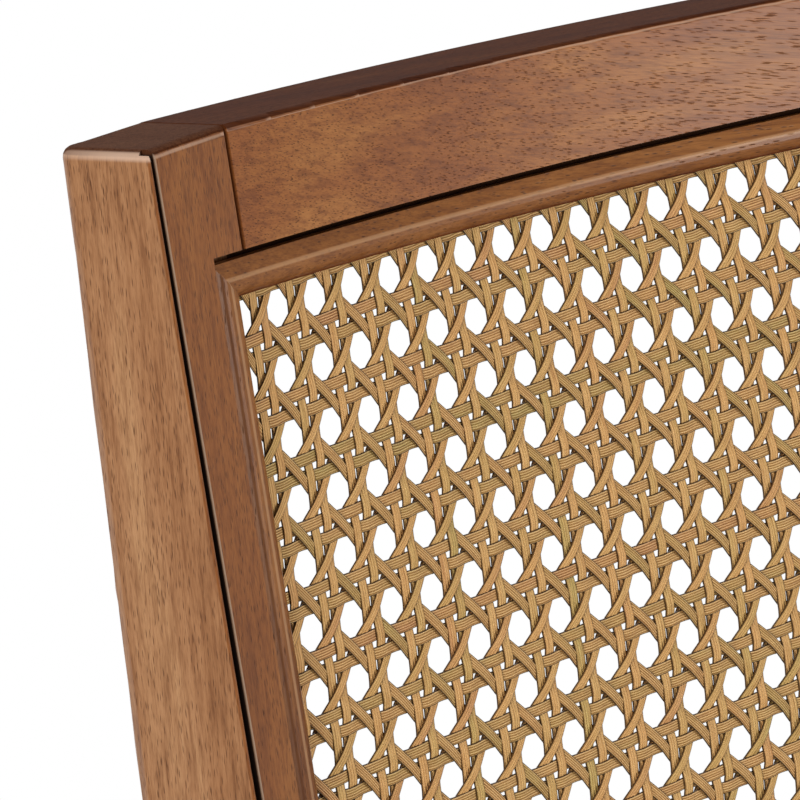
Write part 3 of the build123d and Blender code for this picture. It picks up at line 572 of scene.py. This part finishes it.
def split_cane(name, ribs, rib_shade, tones):
    """Face of split rattan bark: dull ribs along each strand with painted shade between them and painted
    highlights on their crests, edges darkened partly by painted contact shade and partly by the raw cut, and
    a tone of its own.
    """
    material, tree, shader = new_material(name)
    strip = add_node(tree, "ShaderNodeUVMap", {"uv_map": "strip"}).outputs["UV"]
    strand_number = add_node(tree, "ShaderNodeUVMap", {"uv_map": "strand"}).outputs["UV"]
    spread = add_node(
        tree, "ShaderNodeVectorMath", {"operation": "SCALE"}, {"Scale": 7.31}, {"Vector": strand_number}
    ).outputs["Vector"]
    own_tone = add_node(
        tree, "ShaderNodeTexWhiteNoise", {"noise_dimensions": "3D"}, None, {"Vector": spread}
    ).outputs["Value"]
    shifted = add_node(
        tree, "ShaderNodeVectorMath", {"operation": "ADD"}, None, {0: strip, 1: spread}
    ).outputs["Vector"]

    # The tone drifts along each strand, over 20 mm or so, from olive through straw to reddish brown
    drift = noise(tree, shifted, (45, 0.4, 1), 2.0)
    tone_place = calculate(
        tree, "ADD", calculate(tree, "MULTIPLY", own_tone, 0.5), calculate(tree, "MULTIPLY", drift, 0.5)
    )
    tone = ramp_node(tree, tone_place, list(zip((0.15, 0.32, 0.5, 0.68, 0.85), tones)))

    # Streaks along the strand, about 0.3 mm wide and 12 mm long
    streaks = noise(tree, shifted, (130, 4.0, 1), 3.0, 0.65)
    streak_shade = ramp_node(tree, streaks, [(0.3, "#AC8C68"), (0.48, "#EDE3D4"), (0.66, "#FFFFFF")])
    tone = add_node(
        tree, "ShaderNodeMixRGB", {"blend_type": "MULTIPLY"}, {"Fac": 0.8},
        {"Color1": tone, "Color2": streak_shade},
    ).outputs["Color"]

    # Painted shade in the grooves between the ribs and a painted highlight on their crests; darker still
    # along the edges, partly painted contact shade between the strands and partly the rough cut
    across = add_node(tree, "ShaderNodeSeparateXYZ", links={"Vector": strip}).outputs["Y"]
    waver = noise(tree, shifted, (220, 0.6, 1), 1.0)
    rib_place = calculate(
        tree, "ADD", calculate(tree, "MULTIPLY", across, ribs * math.pi),
        calculate(tree, "MULTIPLY", waver, 1.4),
    )
    rib_wave = calculate(tree, "SINE", rib_place)
    # Painted shade in the grooves between the ribs
    groove = add_node(
        tree, "ShaderNodeMapRange", None,
        {"From Min": -1.0, "From Max": 0.1, "To Min": rib_shade, "To Max": 0.0}, {"Value": rib_wave},
    ).outputs["Result"]
    tone = tinted(tree, tone, groove, "#8A6238", "MULTIPLY")
    # Painted highlight on the crests of the ribs
    crest = add_node(
        tree, "ShaderNodeMapRange", None,
        {"From Min": 0.5, "From Max": 1.0, "To Min": 0.0, "To Max": rib_shade * 0.45}, {"Value": rib_wave},
    ).outputs["Result"]
    tone = tinted(tree, tone, crest, "#E3C79C")
    # Darker along the strand's edges: partly painted contact shade between the strands, partly the darker
    # rough cut
    edge_shade_and_raw_cut = step_up(tree, calculate(tree, "ABSOLUTE", across), 0.78, 0.93)
    tone = tinted(tree, tone, calculate(tree, "MULTIPLY", edge_shade_and_raw_cut, 0.92), "#34200F")
    tree.links.new(tone, shader.inputs["Base Color"])
    shader.inputs["Roughness"].default_value = 0.5
    shader.inputs["Specular IOR Level"].default_value = 0.15
    bump = add_node(
        tree, "ShaderNodeBump", None, {"Strength": 0.7, "Distance": 0.0001}, {"Height": rib_wave}
    ).outputs["Normal"]
    tree.links.new(bump, shader.inputs["Normal"])
    return material


def side_room(down):
    """Half the width of the cane, with its tucked edge, at a height."""
    half = back_radius * math.asin((opening_half - opening_slope * down) / back_radius)
    return half + bead_inset + cane_tuck


# Each strand of a pair stands half a gap from the pair's middle, and further off where another pair crosses
pair_up = 0.00173
pair_across = 0.00171
spread_up = 0.00025
spread_across = 0.00018
upright_gap = pair_up + spread_up
level_gap = pair_across + spread_across
upright_width = 0.0027
level_width = 0.0025
falling_width = 0.00228
rising_width = 0.00222
pair_thickness = 0.00042
slant_thickness = 0.00045
weave_lift = 0.00032
slant_lift = 0.0008
wave_reach = cane_pitch * 0.42
shortest_strand = 0.02
hole_across = [first_hole_across + cane_pitch * number for number in range(-2, 36)]
hole_down = [first_hole_down + cane_pitch * number for number in range(-2, 24)]
between_across = [place + cane_pitch / 2 for place in hole_across]
between_down = [place + cane_pitch / 2 for place in hole_down]


def crossing_wave(place, first, gap, sign):
    """Lift of a strand as it passes over one strand and under the other of the pair that it crosses."""
    offset = (place - first + cane_pitch / 2) % cane_pitch - cane_pitch / 2
    near = np.clip(np.abs(offset) / gap, 0, 1)
    far = np.clip((wave_reach - np.abs(offset)) / (wave_reach - gap), 0, 1)
    rise = np.where(np.abs(offset) < gap, np.sin(near * math.pi / 2), far * far * (3 - 2 * far))
    return sign * weave_lift * np.sign(offset) * rise


def pair_sway(place, first, spread):
    """Shift of a pair's strand: apart where another pair crosses, and together between the crossings."""
    return spread * np.cos((place - first) / cane_pitch * 2 * math.pi)


def slant_wave(across, down, sign):
    """Lift of a slanting strand: over the level pairs and under the upright ones, or the other way."""
    turn = (across - first_hole_across) / cane_pitch * 2 * math.pi
    return sign * slant_lift * np.cos(turn)


top_edge = -cane_tuck
foot_edge = opening_height + cane_tuck
upright_strands = []
level_strands = []
for index, middle in enumerate(between_across):
    for side in (-1, 1):
        place = middle + side * pair_up
        foot = foot_edge
        if abs(place) > side_room(opening_height):
            reach = opening_half - back_radius * math.sin((abs(place) - bead_inset - cane_tuck) / back_radius)
            foot = min(foot_edge, reach / opening_slope)
        if foot - top_edge < shortest_strand:
            continue
        upright_strands.append(strand(
            (place, top_edge), (place, foot),
            lambda across, down, side=side: crossing_wave(down, between_down[0], level_gap, -side),
            upright_width, pair_thickness, index * 2 + (side + 1) // 2 + 1,
            lambda across, down, side=side: pair_sway(down, between_down[0], -side * spread_up),
        ))
for index, middle in enumerate(between_down):
    for side in (-1, 1):
        place = middle + side * pair_across
        if place < top_edge + 0.001 or place > foot_edge - 0.001:
            continue
        room = side_room(place)
        level_strands.append(strand(
            (-room, place), (room, place),
            lambda across, down, side=side: crossing_wave(across, between_across[0], upright_gap, side),
            level_width, pair_thickness, index * 2 + (side + 1) // 2 + 101,
            lambda across, down, side=side: pair_sway(across, between_across[0], side * spread_across),
        ))


def slant_strands(direction, sign, width, first_number):
    """The strands that run slantwise one way, each between the edges of the tucked sheet."""
    search_step = 0.0005
    made = []
    for number in range(-40, 80):
        crossing = first_hole_across - direction * first_hole_down + cane_pitch * (number + 0.5)
        inside = []
        for step in np.arange(top_edge, foot_edge, search_step):
            across = crossing + direction * step
            if abs(across) <= side_room(step):
                inside.append((across, step))
        if len(inside) < 30:
            continue
        made.append(strand(
            inside[0], inside[-1], lambda across, down: slant_wave(across, down, sign), width,
            slant_thickness, number + first_number,
        ))
    return made


cane_tones = ("#C2B06A", "#D6B26E", "#E4B878", "#E6B474", "#D49C6C")
ribbed_cane = split_cane("split_cane_ribbed", 5, 0.8, cane_tones)
smooth_cane = split_cane("split_cane_smooth", 4, 0.3, cane_tones)
weave = [
    weave_piece("cane_upright_strands", upright_strands, smooth_cane),
    weave_piece("cane_level_strands", level_strands, ribbed_cane),
    weave_piece("cane_falling_strands", slant_strands(1, 1, falling_width, 201), ribbed_cane),
    weave_piece("cane_rising_strands", slant_strands(-1, -1, rising_width, 401), smooth_cane),
]
for piece in weave:
    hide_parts("cane_panel")
    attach(piece, "root")

# The corner blocks: a pale softwood, planed and left bare, glued into the corners of the seat frame and
# screwed to its rails. Bare, they show their pale bands and a few fine pores.
block_tones = ("#C79E6B", "#D3AE7C", "#DAB98A", "#E0C297", "#A87C4C")
block_pores = (0.0006, 0.008, 0.2, 0.5)
dress(
    [
        "corner_block_front_left", "corner_block_front_right",
        "corner_block_rear_left", "corner_block_rear_right",
    ],
    stained_hardwood(
        "planed_softwood", (0, quarter_turn, 0), (0, quarter_turn, 0), block_tones,
        block_pores, (0.2, 0.1, 0),
    ),
)

# The seat board: plywood, sawn to the seat's outline, sanded and left bare, and screwed up from the corner
# blocks. Its edge shows pale and dark plies in turn, and its faces a fine straight veneer.
ply_thickness = 0.0014
material, tree, shader = new_material("sanded_plywood")
place = add_node(tree, "ShaderNodeTexCoord").outputs["Object"]
height = add_node(tree, "ShaderNodeSeparateXYZ", links={"Vector": place}).outputs["Z"]
plies = calculate(tree, "SINE", calculate(tree, "MULTIPLY", height, math.pi / ply_thickness))
ply_step = add_node(
    tree, "ShaderNodeMapRange", None, {"From Min": -0.2, "From Max": 0.2}, {"Value": plies}
).outputs["Result"]
ply_tone = ramp_node(tree, ply_step, [(0.0, "#B28A5A"), (1.0, "#CFAE7E")])
veneer = noise(tree, place, (12, 900, 900), 4.0)
veneer_shade = ramp_node(tree, veneer, [(0.3, "#C9BBAA"), (0.7, "#FFFFFF")])
board_colour = add_node(
    tree, "ShaderNodeMixRGB", {"blend_type": "MULTIPLY"}, {"Fac": 1.0},
    {"Color1": ply_tone, "Color2": veneer_shade},
).outputs["Color"]
tree.links.new(board_colour, shader.inputs["Base Color"])
shader.inputs["Roughness"].default_value = 0.7
dress(["seat_board"], material)

# The screws: steel, cold headed and zinc plated, driven through the corner blocks into the rails and up into
# the board. The plating gives a pale grey metal with faint dull blotches.
material, tree, shader = new_material("zinc_plated_steel")
place = add_node(tree, "ShaderNodeTexCoord").outputs["Object"]
blotch = noise(tree, place, (900, 900, 900), 3.0)
tree.links.new(ramp_node(tree, blotch, [(0.3, "#A9A79C"), (0.7, "#C9C8C2")]), shader.inputs["Base Color"])
shader.inputs["Metallic"].default_value = 1.0
zinc_gloss = add_node(
    tree, "ShaderNodeMapRange", None, {"To Min": 0.25, "To Max": 0.5}, {"Value": blotch}
).outputs["Result"]
tree.links.new(zinc_gloss, shader.inputs["Roughness"])
dress(["rail_screws", "seat_screws"], material)

# The floor glides: black nylon, moulded with a pin that is pressed into the foot of each leg. The fine grain
# of the mould gives them a soft, even sheen.
material, tree, shader = new_material("moulded_nylon")
place = add_node(tree, "ShaderNodeTexCoord").outputs["Object"]
mould_grain = noise(tree, place, (1800, 1800, 1800))
nylon_tone = ramp_node(tree, mould_grain, [(0.3, "#1C1B1A"), (0.7, "#2B2A28")])
tree.links.new(nylon_tone, shader.inputs["Base Color"])
shader.inputs["Roughness"].default_value = 0.55
nylon_bump = add_node(
    tree, "ShaderNodeBump", None, {"Strength": 0.3, "Distance": 0.0001}, {"Height": mould_grain}
).outputs["Normal"]
tree.links.new(nylon_bump, shader.inputs["Normal"])
dress(["glide_front_left", "glide_front_right", "glide_rear_left", "glide_rear_right"], material)

# The seat: a foam pad over the board, pulled tight in a plain woven linen look cloth that is stapled under
# the board. Its form is that of the CAD cushion, blown up a little as cloth over foam, so that its crown is
# full and its sides draw in.
voxel = 0.0055
pocket_room = 0.0003
foam_pressure = 4.0
puff_limit = 0.004
slack_shares = (0.992, 0.992, 0.97)
still_share = 0.12
easing_share = 0.3
cushion_mesh = nodes["seat_cushion"].data.copy()

# The pocket underneath, which the board fills, is closed, because its rim is thinner than a voxel
pocket_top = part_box("seat_board")[1][2] + pocket_room
shell = bmesh.new()
shell.from_mesh(cushion_mesh)
bmesh.ops.remove_doubles(shell, verts=shell.verts, dist=0.00001)
ceiling = [point for point in shell.verts if abs(point.co.z - pocket_top) < 0.0001]
bmesh.ops.delete(shell, geom=ceiling, context="VERTS")
bmesh.ops.holes_fill(shell, edges=[edge for edge in shell.edges if edge.is_boundary], sides=0)
bmesh.ops.triangulate(shell, faces=shell.faces)
shell.to_mesh(cushion_mesh)
shell.free()

# An even mesh of small squares is laid on that form
form = bpy.data.objects.new("cushion_form", cushion_mesh)
cushion = bpy.data.objects.new("seat_cover", cushion_mesh.copy())
bpy.context.scene.collection.objects.link(form)
bpy.context.scene.collection.objects.link(cushion)
bpy.context.view_layer.objects.active = cushion
remesh = cushion.modifiers.new("remesh", "REMESH")
remesh.mode = "VOXEL"
remesh.voxel_size = voxel
wrap = cushion.modifiers.new("wrap", "SHRINKWRAP")
wrap.wrap_method = "NEAREST_SURFACEPOINT"
wrap.target = form
graph = bpy.context.evaluated_depsgraph_get()
remeshed = bpy.data.meshes.new_from_object(cushion.evaluated_get(graph))
cushion.modifiers.clear()
cushion.data = remeshed
bpy.data.objects.remove(form)

# The cloth starts a little smaller than the foam's form, and the pressure swells it
start_points = np.empty(len(remeshed.vertices) * 3)
remeshed.vertices.foreach_get("co", start_points)
start_points = start_points.reshape(-1, 3)
low_corner, high_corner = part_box("seat_cushion")
low_corner = np.array(low_corner)
high_corner = np.array(high_corner)
middle = (low_corner + high_corner) / 2
middle[2] = low_corner[2]
cover_points = start_points.copy()
remeshed.vertices.foreach_set("co", (middle + (start_points - middle) * slack_shares).ravel())
cloth_rules = cushion.modifiers.new("cloth", "CLOTH")
cloth_rules.settings.use_pressure = True
cloth_rules.settings.uniform_pressure_force = foam_pressure
cloth_rules.settings.effector_weights.gravity = 0.0
cloth_rules.settings.quality = 5
for moment in range(1, 21):
    bpy.context.scene.frame_set(moment)
graph = bpy.context.evaluated_depsgraph_get()
puffed = bpy.data.meshes.new_from_object(cushion.evaluated_get(graph))
puffed_points = np.empty(len(puffed.vertices) * 3)
puffed.vertices.foreach_get("co", puffed_points)
cover_points = puffed_points.reshape(-1, 3)
cushion.modifiers.clear()
bpy.context.scene.frame_set(1)

# The cover stays within 4 mm of the foam's form, and its foot keeps its place above the seat frame
motion = cover_points - start_points
reach = np.linalg.norm(motion, axis=1, keepdims=True)
motion *= np.minimum(1, puff_limit / np.maximum(reach, 1e-9))
rise = np.clip((start_points[:, 2] - low_corner[2]) / (high_corner[2] - low_corner[2]), 0, 1)
motion *= np.clip((rise - still_share) / easing_share, 0, 1)[:, None]
cover_points = start_points + motion
remeshed.vertices.foreach_set("co", cover_points.ravel())
remeshed.update()
smooth = cushion.modifiers.new("smooth", "SUBSURF")
smooth.levels = 1
smooth.render_levels = 1
for polygon in remeshed.polygons:
    polygon.use_smooth = True

# A plain woven cloth of linen look: crossing yarns with slubs in them, dull, with a faint sheen. The yarns
# are drawn 1.2 mm apart, about twice as coarse as the real ones, so that they show.
yarn_pitch = 0.0012
cloth, tree, shader = new_material("woven_linen_look_cloth")
place = add_node(tree, "ShaderNodeTexCoord").outputs["Object"]
spot = add_node(tree, "ShaderNodeSeparateXYZ", links={"Vector": place})
yarns = [
    calculate(tree, "SINE", calculate(tree, "MULTIPLY", spot.outputs[axis], 2 * math.pi / yarn_pitch))
    for axis in ("X", "Y")
]
cloth_relief = calculate(tree, "MULTIPLY", yarns[0], yarns[1])
slubs = noise(tree, place, (60, 900, 300), 3.0)
cloth_tone = ramp_node(tree, slubs, [(0.3, "#B9AE9A"), (0.5, "#CDC3B1"), (0.7, "#DAD2C3")])
yarn_shade = add_node(
    tree, "ShaderNodeMapRange", None, {"From Min": -1.0, "From Max": 0.4, "To Min": 0.35, "To Max": 0.0},
    {"Value": cloth_relief},
).outputs["Result"]
tree.links.new(tinted(tree, cloth_tone, yarn_shade, "#8F8471", "MULTIPLY"), shader.inputs["Base Color"])
shader.inputs["Roughness"].default_value = 0.9
shader.inputs["Sheen Weight"].default_value = 0.25
shader.inputs["Sheen Roughness"].default_value = 0.5
cloth_bump = add_node(
    tree, "ShaderNodeBump", None, {"Strength": 0.6, "Distance": 0.0003}, {"Height": cloth_relief}
).outputs["Normal"]
tree.links.new(cloth_bump, shader.inputs["Normal"])
remeshed.materials.clear()
remeshed.materials.append(cloth)
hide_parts("seat_cushion")
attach(cushion, "root")

# The studio: a pale floor that keeps the chair's shadow near it and turns white further off, a white surround
# and three soft lamps: a broad one from the left, a small one whose sheen lies on the rail's right, and one
# from behind.
near_floor = 0.9
far_floor = 1.9
surround_light = 0.27
floor_mesh = bpy.data.meshes.new("floor")
floor_mesh.from_pydata([(-30, -30, 0), (30, -30, 0), (30, 30, 0), (-30, 30, 0)], [], [(0, 1, 2, 3)])
floor = bpy.data.objects.new("floor", floor_mesh)
bpy.context.scene.collection.objects.link(floor)
floor_paint, tree, shader = new_material("pale_floor")
shader.inputs["Base Color"].default_value = linear("#EDEBE8")
shader.inputs["Roughness"].default_value = 0.9


def seen_directly(tree):
    """One for the rays that show the background: camera, glossy and transmission rays."""
    rays = add_node(tree, "ShaderNodeLightPath").outputs
    seen = calculate(tree, "MAXIMUM", rays["Is Camera Ray"], rays["Is Glossy Ray"])
    return calculate(tree, "MAXIMUM", seen, rays["Is Transmission Ray"])


ground = add_node(tree, "ShaderNodeTexCoord").outputs["Object"]
distance = add_node(tree, "ShaderNodeVectorMath", {"operation": "LENGTH"}, None, {0: ground}).outputs["Value"]
white_floor = step_up(tree, distance, near_floor, far_floor)
white_share = calculate(tree, "MULTIPLY", seen_directly(tree), white_floor)
white = add_node(tree, "ShaderNodeEmission", None, {"Color": (1, 1, 1, 1), "Strength": 1.0}).outputs[0]
blend = add_node(tree, "ShaderNodeMixShader", None, None, {0: white_share, 1: shader.outputs[0], 2: white})
tree.links.new(blend.outputs[0], tree.nodes["Material Output"].inputs["Surface"])
floor_mesh.materials.append(floor_paint)

world = bpy.data.worlds.new("studio")
bpy.context.scene.world = world
world.use_nodes = True
tree = world.node_tree
backdrop = tree.nodes["Background"]
backdrop.inputs["Color"].default_value = (1, 1, 1, 1)
surround = add_node(
    tree, "ShaderNodeMapRange", None, {"To Min": surround_light, "To Max": 1.0},
    {"Value": seen_directly(tree)},
).outputs["Result"]
tree.links.new(surround, backdrop.inputs["Strength"])


def soft_lamp(name, place, aim, size, watts):
    """A soft lamp, turned towards a point of the chair."""
    data = bpy.data.lights.new(name, "AREA")
    data.shape = "RECTANGLE"
    data.size = size[0]
    data.size_y = size[1]
    data.energy = watts
    lamp = bpy.data.objects.new(name, data)
    lamp.location = place
    lamp.rotation_euler = (Vector(aim) - Vector(place)).to_track_quat("-Z", "Y").to_euler()
    bpy.context.scene.collection.objects.link(lamp)


soft_lamp("left_lamp", (-2.95, -1.0, 1.9), (-0.2, 0.2, 0.8), (1.6, 1.6), 76)
soft_lamp("sheen_lamp", (1.87, -1.61, 0.8), (-0.03, 0.24, 0.83), (0.6, 0.6), 35)
soft_lamp("back_lamp", (1.5, 3.0, 2.2), (0, 0, 0.6), (2.0, 2.0), 35)

bpy.context.scene.view_settings.view_transform = "Standard"
